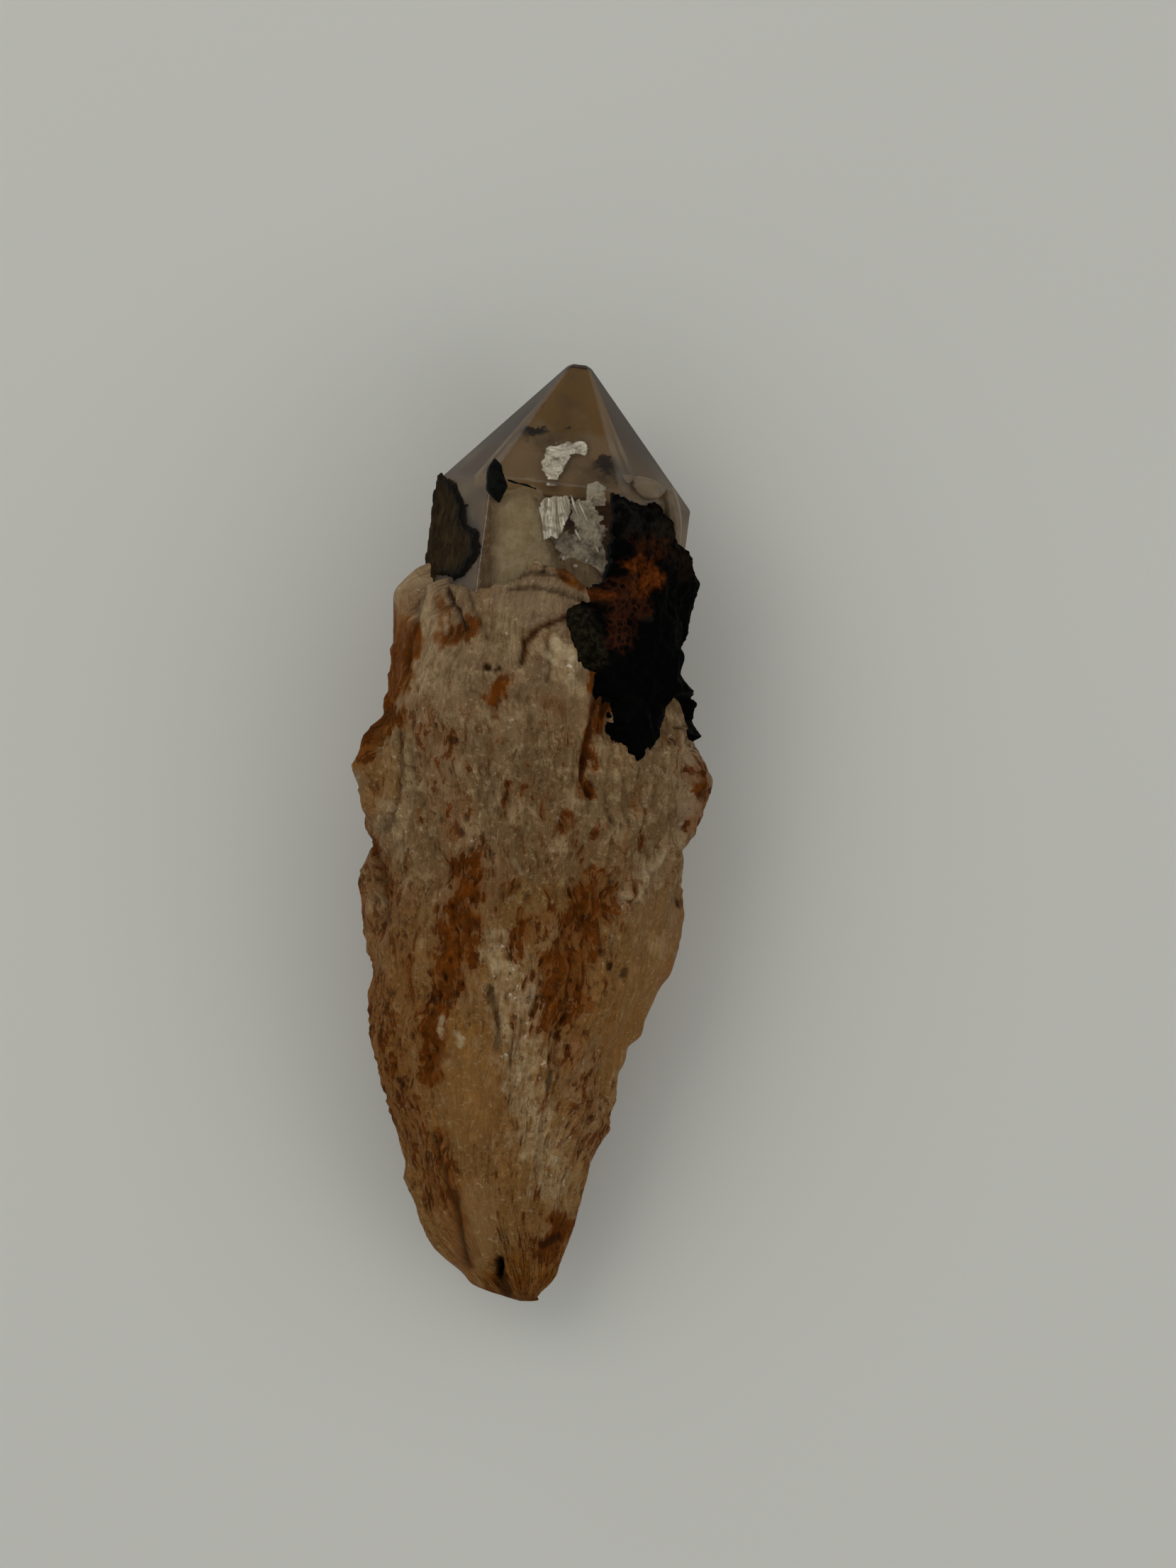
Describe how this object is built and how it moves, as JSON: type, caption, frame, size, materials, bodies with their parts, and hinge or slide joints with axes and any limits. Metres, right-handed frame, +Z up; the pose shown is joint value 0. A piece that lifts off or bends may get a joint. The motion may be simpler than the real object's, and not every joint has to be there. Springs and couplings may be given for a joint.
{
  "type": "quartz crystal specimen",
  "caption": "Long natural quartz crystal lying down: a clear six-sided point in a tapering milky sheath of sub-crystals, with a black iron oxide crust on one shoulder.",
  "frame": {"origin": "on the surface that the crystal lies on, under the middle of its bounding box", "axes": "+Y from the broken root to the pointed tip, +Z up, away from the surface, +X to the right as seen from above with the tip away from the viewer"},
  "size_m": [0.0281, 0.0756, 0.0221],
  "materials": {
    "quartz": "milky, tan and iron-stained below, clear pale smoky at the point",
    "iron_oxide": "rough black with orange rust",
    "oxide_film": "dull dark brown",
    "dark_mineral": "greenish black, slightly glossy"
  },
  "bodies": {
    "root": {"quartz_crystal": "quartz", "iron_oxide_crust": "iron_oxide", "left_oxide_film": "oxide_film", "dark_grain": "dark_mineral"}
  },
  "joints": []
}
